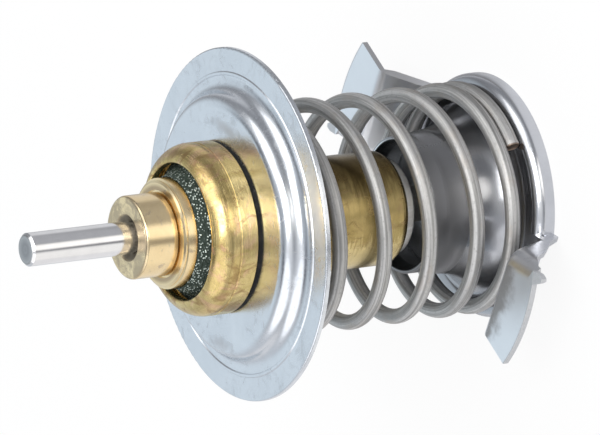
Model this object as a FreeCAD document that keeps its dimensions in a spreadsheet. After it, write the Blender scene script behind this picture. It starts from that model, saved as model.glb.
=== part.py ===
"""Insert thermostat for an engine cooling circuit, modelled in millimetres.

The valve axis is +Z with the piston pin on top. The bridge stands on its rear annulus at z = 0.
The two bayonet wings of the bridge lie along X. The pin pushes against the housing: as the wax
swells, the pin leaves its guide, and the element and the valve disc move down against the spring.
"""
import FreeCAD, Part

import math
import os

import Sketcher

ROOT = "Sizes"

# Driving sizes: name, value in millimetres (angles in degrees), meaning.
SIZES = [
    ("disc_diameter", 48.0, "outside diameter of the valve disc"),
    ("disc_sheet", 0.7, "sheet of the valve disc"),
    ("seat_height", 40.2, "front face of the disc rim above the base of the bridge"),
    ("disc_rise", 2.7, "raised centre above the rim"),
    ("seat_washer", 0.4, "thickness of the dark washer between the cup and the disc"),
    ("seat_washer_inset", 0.15, "washer inside the edge of the head"),
    ("disc_flat_radius", 16.2, "flat of the raised centre"),
    ("disc_wall_run", 3.7, "radial run of the curved wall"),
    ("bead_offset", 0.3, "from the foot of the wall to the bead"),
    ("bead_width", 0.6, "pressed bead round the foot of the wall"),
    ("bead_height", 0.15, "height of the pressed bead"),
    ("running_fit", 0.05, "radial clearance of a sliding or slip fit"),
    ("pin_diameter", 4.5, "piston pin"),
    ("pin_bevel", 0.35, "bevel at both ends of the pin"),
    ("pin_relief", 0.2, "radius ground off where the pin runs in the guide"),
    ("pin_land", 0.3, "start of the pin's full thickness above the guide"),
    ("pin_exposed", 15.3, "pin standing out of the guide with the valve closed"),
    ("cup_diameter", 15.7, "body of the wax cup"),
    ("cup_wall", 1.2, "wall of the wax cup"),
    ("cup_depth", 26.0, "wax cup below the raised centre of the disc"),
    ("cup_end_round", 1.2, "rounded end of the wax cup"),
    ("head_diameter", 23.5, "rolled head of the cup"),
    ("head_wall", 1.15, "wall of the rolled head"),
    ("head_band", 2.5, "straight band of the rolled head"),
    ("head_waist", 0.2, "half of the height of the hollow waist over the band"),
    ("head_height", 6.2, "rolled head above the disc"),
    ("head_opening", 18.5, "opening of the rolled edge"),
    ("roll_radius", 3.3, "outside radius of the roll"),
    ("boot_flange", 0.8, "clamped flange of the rubber boot"),
    ("boot_wall", 1.3, "wall of the rubber boot"),
    ("boot_depth", 21.4, "rubber boot below its flange"),
    ("pin_gap", 0.2, "pin end above the floor of the boot"),
    ("guide_flange", 1.0, "clamped flange of the guide"),
    ("guide_collar_diameter", 15.0, "collar of the guide"),
    ("guide_collar_top", 6.8, "front face of the collar above the flange underside"),
    ("guide_step", 0.3, "turned steps on the edge of the collar"),
    ("guide_groove", 0.3, "turned groove at the foot of the nose"),
    ("nose_diameter", 11.3, "nose of the guide"),
    ("nose_length", 4.9, "nose of the guide in front of the collar"),
    ("nose_round", 0.45, "rounded front edge of the nose"),
    ("countersink_diameter", 6.4, "countersink round the pin"),
    ("countersink_depth", 0.9, "depth of the countersink"),
    ("seal_recess", 1.6, "sealing ring below the rolled edge"),
    ("wire_diameter", 2.1, "spring wire"),
    ("spring_diameter", 30.0, "mean diameter of the spring"),
    ("spring_end_angle", 244.3, "cut end of the lower coil, from +X"),
    ("sheet", 0.8, "sheet of the bridge"),
    ("collar_thinning", 0.3, "thinning of the drawn collar towards its front edge"),
    ("collar_diameter", 18.9, "outside of the bridge collar"),
    ("collar_top", 14.6, "front edge of the bridge collar above the base"),
    ("collar_jog", 0.5, "sideways jog of the collar over the stop shoulder"),
    ("collar_jog_run", 2.4, "length of the jog along the collar"),
    ("shoulder_height", 10.0, "stop shoulder above the base"),
    ("flare_radius", 8.9, "flare from the collar down to the spring seat"),
    ("flare_round", 1.5, "fillet at the foot of the flare"),
    ("spring_seat", 2.8, "front face of the spring seat above the base"),
    ("skirt_diameter", 33.8, "outside of the skirt that turns down round the spring seat"),
    ("skirt_round", 1.6, "rounded shoulder between the spring seat and the skirt"),
    ("wing_angle", 18.5, "half of the angle that a wing spans"),
    ("wing_root", 15.6, "inner face of an arm at the base, from the axis"),
    ("wing_lean", 3.6, "outward lean of an arm over its height"),
    ("wing_height", 9.3, "front face of a lug above the base"),
    ("wing_bend", 1.4, "outside radius of the bends of an arm"),
    ("lug_bend", 2.6, "outside radius of the bend between a lug and its gusset"),
    ("lug_radius", 26.7, "outer edge of a lug from the axis"),
    ("lug_corner", 7.8, "plain corner of a lug over the arm, from the middle of the wing"),
    ("hook_reach", 2.0, "hooked corner of a lug beyond its edge"),
    ("hook_width", 1.2, "width of the hooked corner"),
    ("stud_flange_diameter", 13.2, "flange of the tail stud"),
    ("stud_flange", 1.4, "flange thickness of the tail stud"),
    ("stud_diameter", 5.0, "shank of the tail stud"),
    ("stop_washer_diameter", 17.8, "stop washer"),
    ("stop_washer", 1.0, "thickness of the stop washer"),
    ("stop_gap", 0.15, "stop washer below the shoulder with the valve closed"),
    ("clip_diameter", 8.0, "retaining clip"),
    ("clip_sheet", 0.7, "thickness of the retaining clip"),
    ("clip_groove", 0.6, "depth of the clip groove in the shank"),
    ("clip_opening", 2.6, "opening of the retaining clip"),
    ("stud_tail", 0.8, "shank below the clip"),
]

# Course of the spring: turns from the cut end, and the height of the wire over the lower coil as
# a share of the whole. The ends are closed and the turns between them are open.
SPRING_COURSE = [
    (0.0, 0.0), (0.933, 0.051), (1.933, 0.2056), (2.933, 0.4067),
    (3.933, 0.5976), (4.933, 0.7839), (5.933, 0.9611), (6.769, 1.0),
]

# Free edge of a gusset from the base up: reach beyond the arm's foot as a share of the way to the
# edge of the lug, and height as a share of the wing's.
GUSSET_EDGE = [(0.01, 0.0), (0.208, 0.226), (0.388, 0.382), (0.557, 0.538), (0.704, 0.774), (0.953, 0.882)]


class Size:
    """A length with the sheet expression that drives it."""

    def __init__(self, value, text):
        self.value = float(value)
        self.text = text

    @staticmethod
    def of(other):
        """Return other as a Size."""
        if isinstance(other, Size):
            return other
        return Size(other, repr(float(other)))

    def join(self, other, sign, value):
        """Return the combination of two sizes."""
        return Size(value, "(%s %s %s)" % (self.text, sign, other.text))

    def __add__(self, other):
        other = Size.of(other)
        return self.join(other, "+", self.value + other.value)

    def __radd__(self, other):
        return Size.of(other) + self

    def __sub__(self, other):
        other = Size.of(other)
        return self.join(other, "-", self.value - other.value)

    def __rsub__(self, other):
        return Size.of(other) - self

    def __mul__(self, other):
        other = Size.of(other)
        return self.join(other, "*", self.value * other.value)

    def __rmul__(self, other):
        return Size.of(other) * self

    def __truediv__(self, other):
        other = Size.of(other)
        return self.join(other, "/", self.value / other.value)

    def __neg__(self):
        return 0.0 - self

    def cos(self):
        """Return the cosine of an angle in degrees."""
        return Size(math.cos(math.radians(self.value)), "cos(%s * 1deg)" % self.text)

    def sin(self):
        """Return the sine of an angle in degrees."""
        return Size(math.sin(math.radians(self.value)), "sin(%s * 1deg)" % self.text)

    def root(self):
        """Return the square root."""
        return Size(math.sqrt(self.value), "sqrt(%s)" % self.text)


doc = FreeCAD.newDocument("thermostat")
sheet = doc.addObject("Spreadsheet::Sheet", ROOT)
sheet.set("A1", "size")
sheet.set("B1", "value")
sheet.set("C1", "meaning")
for row, (alias, number, meaning) in enumerate(SIZES, start=2):
    sheet.set("A%d" % row, alias)
    sheet.set("B%d" % row, repr(number))
    sheet.setAlias("B%d" % row, alias)
    sheet.set("C%d" % row, meaning)
doc.recompute()

S = {alias: Size(sheet.get(alias), "%s.%s" % (ROOT, alias)) for alias, number, meaning in SIZES}
ZERO = Size(0.0, "0")


def plane_of(body, role):
    """Return the origin plane of a body by its role."""
    for feature in body.Origin.OriginFeatures:
        if feature.Role == role:
            return feature
    raise RuntimeError("no plane " + role)


def place(target, z=None, turn=None):
    """Bind the placement of an object to the sheet."""
    if z is not None:
        target.setExpression("Placement.Base.z", z.text)
    if turn is not None:
        target.Placement = FreeCAD.Placement(FreeCAD.Vector(0, 0, 0), FreeCAD.Rotation(FreeCAD.Vector(0, 0, 1), 1))
        target.setExpression("Placement.Rotation.Angle", turn.text)


def new_body(name, z=None, turn=None):
    """Start a body with its label and placement."""
    body = doc.addObject("PartDesign::Body", name)
    body.Label = name
    place(body, z, turn)
    return body


def new_sketch(body, name, role, lift=None):
    """Start a sketch on an origin plane of its own body."""
    sketch = body.newObject("Sketcher::SketchObject", name)
    sketch.AttachmentSupport = (plane_of(body, role), [""])
    sketch.MapMode = "FlatFace"
    if lift is not None:
        sketch.setExpression("AttachmentOffset.Base.z", lift.text)
    return sketch


def bind(sketch, index, size):
    """Tie a constraint to the sheet."""
    sketch.setExpression("Constraints[%d]" % index, size.text)


def pin_point(sketch, geo, end, x, y):
    """Hold one point at x, y measured from the origin of the sketch."""
    if x is ZERO:
        sketch.addConstraint(Sketcher.Constraint("PointOnObject", geo, end, -2))
    else:
        bind(sketch, sketch.addConstraint(Sketcher.Constraint("DistanceX", -1, 1, geo, end, x.value)), x)
    if y is ZERO:
        sketch.addConstraint(Sketcher.Constraint("PointOnObject", geo, end, -1))
    else:
        bind(sketch, sketch.addConstraint(Sketcher.Constraint("DistanceY", -1, 1, geo, end, y.value)), y)


def arc_between(p, q, radius, side):
    """Return the short arc from p to q, and whether it runs backwards. side 1 turns left."""
    chord = q - p
    half = chord.Length / 2.0
    left = FreeCAD.Vector(-chord.y, chord.x, 0).normalize()
    centre = (p + q) * 0.5 + left * (side * math.sqrt(max(radius * radius - half * half, 0.0)))
    first, last = (p, q) if side > 0 else (q, p)
    begin = math.atan2(first.y - centre.y, first.x - centre.x)
    end = math.atan2(last.y - centre.y, last.x - centre.x)
    circle = Part.Circle(centre, FreeCAD.Vector(0, 0, 1), radius)
    return Part.ArcOfCircle(circle, begin, end), side < 0


def draw(sketch, corners):
    """Draw a closed outline. A corner is (x, y) or (x, y, radius, side) for the arc that leaves it."""
    corners = [(Size.of(c[0]) if c[0] is not ZERO else ZERO, Size.of(c[1]) if c[1] is not ZERO else ZERO) + tuple(c[2:])
               for c in corners]
    spots = [FreeCAD.Vector(c[0].value, c[1].value, 0) for c in corners]
    ends = []
    for i, corner in enumerate(corners):
        p, q = spots[i], spots[(i + 1) % len(spots)]
        if len(corner) > 2:
            arc, backwards = arc_between(p, q, corner[2].value, corner[3])
            geo = sketch.addGeometry(arc, False)
            ends.append((geo, 2, 1) if backwards else (geo, 1, 2))
        else:
            geo = sketch.addGeometry(Part.LineSegment(p, q), False)
            ends.append((geo, 1, 2))
    for i, (geo, start, stop) in enumerate(ends):
        nxt = ends[(i + 1) % len(ends)]
        sketch.addConstraint(Sketcher.Constraint("Coincident", geo, stop, nxt[0], nxt[1]))
    for i, corner in enumerate(corners):
        geo, start, stop = ends[i]
        pin_point(sketch, geo, start, corner[0], corner[1])
        if len(corner) > 2:
            bind(sketch, sketch.addConstraint(Sketcher.Constraint("Radius", geo, corner[2].value)), corner[2])
    return ends


def revolve(body, name, corners):
    """Revolve an outline, given as radius and height, round the axis of the body."""
    sketch = new_sketch(body, name + "_profile", "XZ_Plane")
    draw(sketch, corners)
    feature = body.newObject("PartDesign::Revolution", name)
    feature.Profile = sketch
    feature.ReferenceAxis = (sketch, ["V_Axis"])
    feature.Angle = 360.0
    doc.recompute()
    return feature


def circles_at(feature, radius, height):
    """Return the names of the full circles of a feature at a radius and a height."""
    names = []
    for number, edge in enumerate(feature.Shape.Edges, start=1):
        curve = edge.Curve
        if not isinstance(curve, Part.Circle) or len(edge.Vertexes) > 1:
            continue
        if abs(curve.Radius - radius.value) < 1e-4 and abs(curve.Center.z - height.value) < 1e-4:
            names.append("Edge%d" % number)
    if not names:
        raise RuntimeError("no circle at %.3f, %.3f" % (radius.value, height.value))
    return names


def round_edges(body, base, name, edges, radius):
    """Fillet the named edges of a feature."""
    feature = body.newObject("PartDesign::Fillet", name)
    feature.Base = (base, edges)
    feature.setExpression("Radius", radius.text)
    doc.recompute()
    return feature


def bevel_edges(body, base, name, edges, size):
    """Bevel the named edges of a feature."""
    feature = body.newObject("PartDesign::Chamfer", name)
    feature.Base = (base, edges)
    feature.setExpression("Size", size.text)
    doc.recompute()
    return feature


# Heights that several pieces share, measured from the base of the bridge.
dome_top = S["seat_height"] + S["disc_rise"]
head_seat = dome_top + S["seat_washer"]
cup_end = head_seat - S["cup_depth"]
boot_seat = head_seat + S["cup_wall"]
guide_seat = boot_seat + S["boot_flange"]
collar_front = guide_seat + S["guide_collar_top"]
nose_front = collar_front + S["nose_length"]
pin_tip = nose_front + S["pin_exposed"]
boot_floor = boot_seat - S["boot_depth"] + S["boot_wall"]
pin_foot = boot_floor + S["pin_gap"]
washer_top = S["shoulder_height"] - S["stop_gap"]
washer_foot = washer_top - S["stop_washer"]
clip_foot = washer_foot - S["clip_sheet"]

# Radii that several pieces share.
pin_radius = S["pin_diameter"] / 2
cup_radius = S["cup_diameter"] / 2
wax_bore = cup_radius - S["cup_wall"]
head_radius = S["head_diameter"] / 2
head_bore = head_radius - S["head_wall"]
head_lip = S["head_opening"] / 2
ground_radius = pin_radius - S["pin_relief"]
bore_radius = ground_radius + S["running_fit"]
boot_radius = bore_radius + S["boot_wall"]
guide_radius = S["guide_collar_diameter"] / 2
nose_radius = S["nose_diameter"] / 2
wire_radius = S["wire_diameter"] / 2
coil_radius = S["spring_diameter"] / 2
stud_radius = S["stud_diameter"] / 2
clamped_radius = head_bore - S["running_fit"]


# Piston pin: a steel rod with bevelled ends, ground a little thinner where it runs in the guide.
pin_body = new_body("piston_pin", pin_foot)
pin_length = pin_tip - pin_foot
free_start = nose_front - pin_foot + S["pin_land"]
bevel = S["pin_bevel"]
revolve(pin_body, "rod", [
    (ZERO, ZERO),
    (ground_radius - bevel, ZERO),
    (ground_radius, bevel),
    (ground_radius, free_start),
    (pin_radius, free_start),
    (pin_radius, pin_length - bevel),
    (pin_radius - bevel, pin_length),
    (ZERO, pin_length),
])

# Guide: a turned brass bush with a clamped flange, a collar and a nose.
guide_body = new_body("piston_guide", guide_seat)
step = S["guide_step"]
collar_z = S["guide_collar_top"]
nose_z = collar_z + S["nose_length"]
sink_radius = S["countersink_diameter"] / 2
guide = revolve(guide_body, "guide_turned", [
    (bore_radius, ZERO),
    (clamped_radius, ZERO),
    (clamped_radius, S["guide_flange"]),
    (guide_radius, S["guide_flange"]),
    (guide_radius, collar_z - step * 1.6),
    (guide_radius - step, collar_z - step * 1.2),
    (guide_radius - step, collar_z - step * 0.6),
    (guide_radius - step * 2, collar_z),
    (nose_radius + S["guide_groove"], collar_z),
    (nose_radius + S["guide_groove"], collar_z - S["guide_groove"]),
    (nose_radius, collar_z - S["guide_groove"]),
    (nose_radius, nose_z),
    (sink_radius, nose_z),
    (bore_radius, nose_z - S["countersink_depth"]),
])
round_edges(guide_body, guide, "nose_edge", circles_at(guide, nose_radius, nose_z), S["nose_round"])

# Sealing ring: a moulded rubber ring packed between the collar of the guide and the rolled edge.
seal_foot = S["guide_flange"]
seal_top = S["head_height"] - S["cup_wall"] - S["boot_flange"] - S["seal_recess"]
seal_body = new_body("sealing_ring", guide_seat)
roll_start = S["head_band"] + S["head_waist"] * 2
roll_share = (S["head_height"] - S["seal_recess"] - roll_start) / (S["head_height"] - S["head_wall"] - roll_start)
seal_edge = head_bore + (head_lip - head_bore) * roll_share - S["running_fit"]
revolve(seal_body, "ring", [
    (guide_radius + S["running_fit"], seal_foot),
    (clamped_radius - S["head_wall"] * 0.2, seal_foot),
    (seal_edge, seal_top),
    (guide_radius + S["running_fit"], seal_top),
])

# Wax cup: a drawn brass cup whose head is rolled in over the flange of the guide.
cup_body = new_body("element_cup", head_seat)
inner_roll = S["roll_radius"] - S["head_wall"]
band_top = roll_start
cup = revolve(cup_body, "cup_drawn", [
    (ZERO, -S["cup_depth"]),
    (cup_radius, -S["cup_depth"]),
    (cup_radius, ZERO),
    (head_radius - S["head_waist"], ZERO),
    (head_radius, S["head_waist"]),
    (head_radius, S["head_band"], S["head_waist"] * 1.1, -1),
    (head_radius, band_top, S["roll_radius"], 1),
    (head_lip, S["head_height"]),
    (head_lip, S["head_height"] - S["head_wall"], inner_roll, -1),
    (head_bore, band_top),
    (head_bore, S["cup_wall"]),
    (wax_bore, S["cup_wall"]),
    (wax_bore, -S["cup_depth"] + S["cup_wall"]),
    (ZERO, -S["cup_depth"] + S["cup_wall"]),
])
cup = round_edges(cup_body, cup, "cup_end", circles_at(cup, cup_radius, -S["cup_depth"]), S["cup_end_round"])
round_edges(cup_body, cup, "lip_edge", circles_at(cup, head_lip, S["head_height"]), S["head_wall"] * 0.3)

# Seat washer: a thin dark washer that seals the head of the cup on the disc.
seat_body = new_body("seat_washer", dome_top)
seat_radius = head_radius - S["seat_washer_inset"]
revolve(seat_body, "washer_cut", [
    (cup_radius + S["running_fit"], ZERO),
    (seat_radius, ZERO),
    (seat_radius, S["seat_washer"]),
    (cup_radius + S["running_fit"], S["seat_washer"]),
])

# Rubber boot: a clamped flange and a closed tube that the pin reaches into.
boot_body = new_body("rubber_boot", boot_seat)
revolve(boot_body, "boot_moulded", [
    (ZERO, -S["boot_depth"]),
    (boot_radius, -S["boot_depth"]),
    (boot_radius, ZERO),
    (clamped_radius, ZERO),
    (clamped_radius, S["boot_flange"]),
    (bore_radius, S["boot_flange"]),
    (bore_radius, -S["boot_depth"] + S["boot_wall"]),
    (ZERO, -S["boot_depth"] + S["boot_wall"]),
])

# Wax charge: fills the cup round and below the boot.
wax_foot = cup_end + S["cup_wall"]
wax_body = new_body("wax_charge", wax_foot)
wax_top = boot_seat - wax_foot - S["running_fit"]
wax_well = boot_seat - S["boot_depth"] - wax_foot - S["running_fit"]
revolve(wax_body, "wax_cast", [
    (ZERO, ZERO),
    (wax_bore - S["running_fit"], ZERO),
    (wax_bore - S["running_fit"], wax_top),
    (boot_radius + S["running_fit"], wax_top),
    (boot_radius + S["running_fit"], wax_well),
    (ZERO, wax_well),
])

# Valve disc: pressed sheet with a raised centre, a wall of two equal arcs and a flat sealing rim.
disc_body = new_body("valve_disc", S["seat_height"] - S["disc_sheet"])
rise, run, gauge = S["disc_rise"], S["disc_wall_run"], S["disc_sheet"]
spread = run * run + rise * rise
wall_radius = spread / (rise * 4)
wall_cos = (run * run - rise * rise) / spread
wall_sin = run * rise * 2 / spread
flat_radius = S["disc_flat_radius"]
foot_radius = flat_radius + run
mid_radius = flat_radius + run / 2
mid_height = gauge + rise / 2
under_radius = mid_radius - gauge * wall_sin
under_height = mid_height - gauge * wall_cos
bead_start = foot_radius + S["bead_offset"]
bead_end = bead_start + S["bead_width"]
bead_top = gauge + S["bead_height"]
disc_radius = S["disc_diameter"] / 2
disc = revolve(disc_body, "disc_pressed", [
    (cup_radius + S["running_fit"], rise),
    (flat_radius, rise, wall_radius - gauge, -1),
    (under_radius, under_height, wall_radius + gauge, 1),
    (foot_radius, ZERO),
    (disc_radius, ZERO),
    (disc_radius, gauge),
    (bead_end, gauge),
    (bead_end - S["bead_height"], bead_top),
    (bead_start + S["bead_height"], bead_top),
    (bead_start, gauge),
    (foot_radius, gauge, wall_radius, -1),
    (mid_radius, mid_height, wall_radius, 1),
    (flat_radius, gauge + rise),
    (cup_radius + S["running_fit"], gauge + rise),
])
round_edges(disc_body, disc, "disc_edge", circles_at(disc, disc_radius, gauge), gauge * 0.4)

# Tail stud: a flanged steel shank on the closed end of the cup, grooved for the clip.
stud_body = new_body("tail_stud", cup_end)
stud_flange_radius = S["stud_flange_diameter"] / 2
groove_radius = stud_radius - S["clip_groove"]
groove_top = washer_foot - cup_end
groove_foot = clip_foot - cup_end - S["running_fit"]
stud_end = groove_foot - S["stud_tail"]
stud = revolve(stud_body, "stud_turned", [
    (ZERO, stud_end),
    (stud_radius, stud_end),
    (stud_radius, groove_foot),
    (groove_radius, groove_foot),
    (groove_radius, groove_top),
    (stud_radius, groove_top),
    (stud_radius, -S["stud_flange"]),
    (stud_flange_radius, -S["stud_flange"]),
    (stud_flange_radius, ZERO),
    (ZERO, ZERO),
])
edges = circles_at(stud, stud_flange_radius, -S["stud_flange"]) + circles_at(stud, stud_radius, stud_end)
bevel_edges(stud_body, stud, "stud_bevels", edges, S["clip_groove"] * 0.5)

# Stop washer: bears on the shoulder inside the bridge collar and keeps the spring in.
washer_body = new_body("stop_washer", washer_foot)
washer_radius = S["stop_washer_diameter"] / 2
washer = revolve(washer_body, "washer_punched", [
    (stud_radius + S["running_fit"], ZERO),
    (washer_radius, ZERO),
    (washer_radius, S["stop_washer"]),
    (stud_radius + S["running_fit"], S["stop_washer"]),
])
bevel_edges(washer_body, washer, "washer_edge", circles_at(washer, washer_radius, ZERO), S["stop_washer"] * 0.2)

# Retaining clip: an open ring in the groove of the stud.
clip_body = new_body("retaining_clip", clip_foot)
clip_radius = S["clip_diameter"] / 2
clip = revolve(clip_body, "clip_ring", [
    (groove_radius + S["running_fit"], ZERO),
    (clip_radius, ZERO),
    (clip_radius, S["clip_sheet"]),
    (groove_radius + S["running_fit"], S["clip_sheet"]),
])
sketch = new_sketch(clip_body, "clip_mouth", "XY_Plane")
half = S["clip_opening"] / 2
draw(sketch, [(ZERO, -half), (clip_radius * 1.5, -half), (clip_radius * 1.5, half), (ZERO, half)])
mouth = clip_body.newObject("PartDesign::Pocket", "clip_open")
mouth.Profile = sketch
mouth.Type = "ThroughAll"
mouth.Midplane = True
doc.recompute()
if mouth.Shape.Volume > clip.Shape.Volume - 0.5:
    raise RuntimeError("the mouth of the clip isn't cut")

# Bridge ring: pressed in one piece with the collar, the flare, the spring seat and the skirt.
ring_body = new_body("bridge_ring", turn=ZERO + 90.0)
thick = S["sheet"]
collar_radius = S["collar_diameter"] / 2
collar_bore = collar_radius - thick
jog = S["collar_jog"]
jog_top = S["shoulder_height"] + S["collar_jog_run"]
flare_top = S["shoulder_height"]
flare_centre = collar_radius + jog + S["flare_radius"]
seat_front = S["spring_seat"]
seat_rear = seat_front - thick
drop_front = flare_top - seat_front
flare_foot = flare_centre - (S["flare_radius"] * S["flare_radius"] - drop_front * drop_front).root()
rear_radius = S["flare_radius"] + thick
drop_rear = flare_top - seat_rear
rear_foot = flare_centre - (rear_radius * rear_radius - drop_rear * drop_rear).root()
skirt_radius = S["skirt_diameter"] / 2
ring = revolve(ring_body, "ring_pressed", [
    (collar_bore + S["collar_thinning"], S["collar_top"]),
    (collar_bore, flare_top + (S["collar_top"] - flare_top) / 2),
    (collar_bore, flare_top),
    (collar_bore + jog, flare_top, rear_radius, 1),
    (rear_foot, seat_rear),
    (skirt_radius - thick, seat_rear),
    (skirt_radius - thick, ZERO),
    (skirt_radius, ZERO),
    (skirt_radius, seat_front),
    (flare_foot, seat_front, S["flare_radius"], -1),
    (collar_radius + jog, flare_top),
    (collar_radius, jog_top),
    (collar_radius, S["collar_top"]),
])
ring = round_edges(ring_body, ring, "shoulder", circles_at(ring, skirt_radius, seat_front), S["skirt_round"])
ring = round_edges(ring_body, ring, "shoulder_rear",
                   circles_at(ring, skirt_radius - thick, seat_rear), S["skirt_round"] - thick)
ring = round_edges(ring_body, ring, "flare_foot_front", circles_at(ring, flare_foot, seat_front), S["flare_round"])
ring = round_edges(ring_body, ring, "flare_foot_rear", circles_at(ring, rear_foot, seat_rear),
                   S["flare_round"] + thick)
edges = circles_at(ring, collar_radius + jog, flare_top) + circles_at(ring, collar_radius, jog_top)
ring = round_edges(ring_body, ring, "jog_edges", edges, S["collar_jog_run"])
edges = circles_at(ring, skirt_radius, ZERO) + circles_at(ring, collar_radius, S["collar_top"])
ring_tip = round_edges(ring_body, ring, "rim_edges", edges, thick * 0.2)


def polar(along, across, side):
    """Return x, y of a point given along and across the side edge of a wing. side is 1 or -1."""
    span_cos, span_sin = S["wing_angle"].cos(), S["wing_angle"].sin()
    return along * span_cos - across * span_sin, (along * span_sin + across * span_cos) * side


def cut_skirt():
    """Leave the skirt out below the wings, where the sheet is bent up into the arms."""
    plan = new_sketch(ring_body, "skirt_gap_plan", "XY_Plane")
    near, far = S["wing_root"] - thick, skirt_radius + thick
    outline = [polar(near, ZERO, -1), polar(far, ZERO, -1), polar(far, -thick, 1), polar(near, -thick, 1)]
    draw(plan, [(y, -x) for x, y in outline])
    draw(plan, [(-y, x) for x, y in outline])
    gaps = ring_body.newObject("PartDesign::Pocket", "skirt_gaps")
    gaps.Profile = plan
    gaps.Reversed = True
    gaps.setExpression("Length", seat_rear.text)
    doc.recompute()
    if gaps.Shape.Volume > ring_tip.Shape.Volume - 0.5:
        raise RuntimeError("the skirt isn't cut")


def extrude(body, name, kind, sketch, length=None):
    """Pad or pocket a sketch, and check that the volume has changed the right way."""
    before = body.Shape.Volume if kind == "Pocket" else 0.0
    feature = body.newObject("PartDesign::" + kind, name)
    feature.Profile = sketch
    if length is None:
        feature.Type = "ThroughAll"
        feature.Midplane = True
    else:
        feature.setExpression("Length", length.text)
    doc.recompute()
    if kind == "Pocket" and feature.Shape.Volume > before - 0.5:
        raise RuntimeError(name + " cuts nothing")
    return feature


def wing(name, turn):
    """Build one bayonet wing with sharp bends: a leaning arm, a lug bent outward, a gusset on one side."""
    body = new_body(name, turn=turn)
    root, top, reach = S["wing_root"], S["wing_height"], S["lug_radius"]
    slope = S["wing_lean"] / top
    foot = root + (slope * slope + 1.0).root() * thick
    inner = skirt_radius - S["skirt_round"] - thick * 0.15
    near = root - thick
    outer = reach + thick * 4

    # Gusset: a strip along one side edge, cut back to the arm.
    strip_plan = new_sketch(body, name + "_gusset_plan", "XY_Plane")
    draw(strip_plan, [
        polar(near, ZERO + 0.0, 1),
        polar(reach, ZERO + 0.0, 1),
        polar(reach, -thick, 1),
        polar(near, -thick, 1),
    ])
    extrude(body, name + "_gusset", "Pad", strip_plan, top)
    side_view = new_sketch(body, name + "_arm_side", "XZ_Plane")
    draw(side_view, [
        (near - thick * 3, -thick),
        (root - slope * thick, -thick),
        (root + slope * (top + thick), top + thick),
        (near - thick * 3, top + thick),
    ])
    extrude(body, name + "_arm_cut", "Pocket", side_view)

    # Arm and lug: one bent strip, seen from the side.
    bent = new_sketch(body, name + "_strip_side", "XZ_Plane")
    draw(bent, [
        (near - thick, seat_rear),
        (foot + slope * seat_rear, seat_rear),
        (foot + slope * (top - thick), top - thick),
        (outer, top - thick),
        (outer, top),
        (root + slope * top, top),
        (root + slope * seat_front, seat_front),
        (near - thick, seat_front),
    ])
    strip = extrude(body, name + "_strip", "Pad", bent, outer * S["wing_angle"].sin() * 2 + thick * 2)
    strip.Midplane = True
    doc.recompute()

    # Outline in plan: a sector that ends in the spring seat, wider on the plain side.
    plan = new_sketch(body, name + "_outline", "XY_Plane")
    frame = outer + thick
    draw(plan, [(near - thick * 4, -frame), (frame, -frame), (frame, frame), (near - thick * 4, frame)])
    draw(plan, [
        polar(inner, ZERO + 0.0, -1),
        (root + slope * top, -S["lug_corner"]),
        polar(reach, ZERO + 0.0, -1) + (reach, 1),
        polar(reach, ZERO + 0.0, 1),
        polar(inner, ZERO + 0.0, 1),
    ])
    return body, extrude(body, name + "_sheared", "Pocket", plan)


def straight_edges(feature, test, crossing):
    """Return the names of straight edges whose ends pass a test, and which cross the wing or run along it."""
    names = []
    for number, edge in enumerate(feature.Shape.Edges, start=1):
        if isinstance(edge.Curve, Part.Line) and all(test(v.Point) for v in edge.Vertexes):
            if (edge.Vertexes[0].Point.y * edge.Vertexes[-1].Point.y < 0.0) == crossing:
                names.append("Edge%d" % number)
    return names


def across_gusset(point):
    """Return how far a point lies inside the outer face of a gusset."""
    angle = math.radians(S["wing_angle"].value)
    return point.x * math.sin(angle) - point.y * math.cos(angle)


def on_outer_side(point):
    """Tell whether a point lies on the outer face of a gusset."""
    return point.y > 0.0 and abs(across_gusset(point)) < 1e-4


def on_inner_side(point):
    """Tell whether a point lies on the inner face of a gusset."""
    return point.y > 0.0 and abs(across_gusset(point) - thick.value) < 1e-4


def on_arm_front(point):
    """Tell whether a point lies on the face of an arm that looks at the axis."""
    return point.z > seat_front.value - 1e-4 and abs(point.x - S["wing_root"].value - S["wing_lean"].value / S["wing_height"].value * point.z) < 1e-4


def on_lug_front(point):
    """Tell whether a point lies on the front face of a lug."""
    return abs(point.z - S["wing_height"].value) < 1e-4


def on_lug_rear(point):
    """Tell whether a point lies on the rear face of a lug."""
    return abs(point.z - S["wing_height"].value + thick.value) < 1e-4


def bend(name, body, tip):
    """Round the bends of a wing: the inside and outside of the lug's, then those of the arm."""
    inside = straight_edges(tip, lambda p: on_inner_side(p) and on_lug_rear(p), False)
    tip = round_edges(body, tip, name + "_inside", inside, S["lug_bend"] - thick)
    outside = straight_edges(tip, lambda p: on_outer_side(p) and on_lug_front(p), False)
    tip = round_edges(body, tip, name + "_outside", outside, S["lug_bend"])
    across = straight_edges(tip, lambda p: on_arm_front(p) and on_lug_front(p), True)
    along = straight_edges(tip, lambda p: on_arm_front(p) and on_outer_side(p), False)
    return round_edges(body, tip, name + "_arm", across + along, S["wing_bend"])


def taper(name, body):
    """Cut the gusset back from the edge of the lug towards the base."""
    root, top, reach = S["wing_root"], S["wing_height"], S["lug_radius"]
    slope = S["wing_lean"] / top
    foot = root + (slope * slope + 1.0).root() * thick
    edge = reach * S["wing_angle"].cos()
    side_view = new_sketch(body, name + "_gusset_side", "XZ_Plane")
    first, last = GUSSET_EDGE[0], GUSSET_EDGE[-1]
    corners = [(foot + (edge - foot) * along, top * up) for along, up in GUSSET_EDGE[1:]]
    corners.insert(0, (foot + (edge - foot) * first[0], ZERO - thick))
    corners += [(edge + thick * 4, top * last[1]), (edge + thick * 4, ZERO - thick)]
    draw(side_view, corners)
    return extrude(body, name + "_gusset_cut", "Pocket", side_view)


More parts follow.
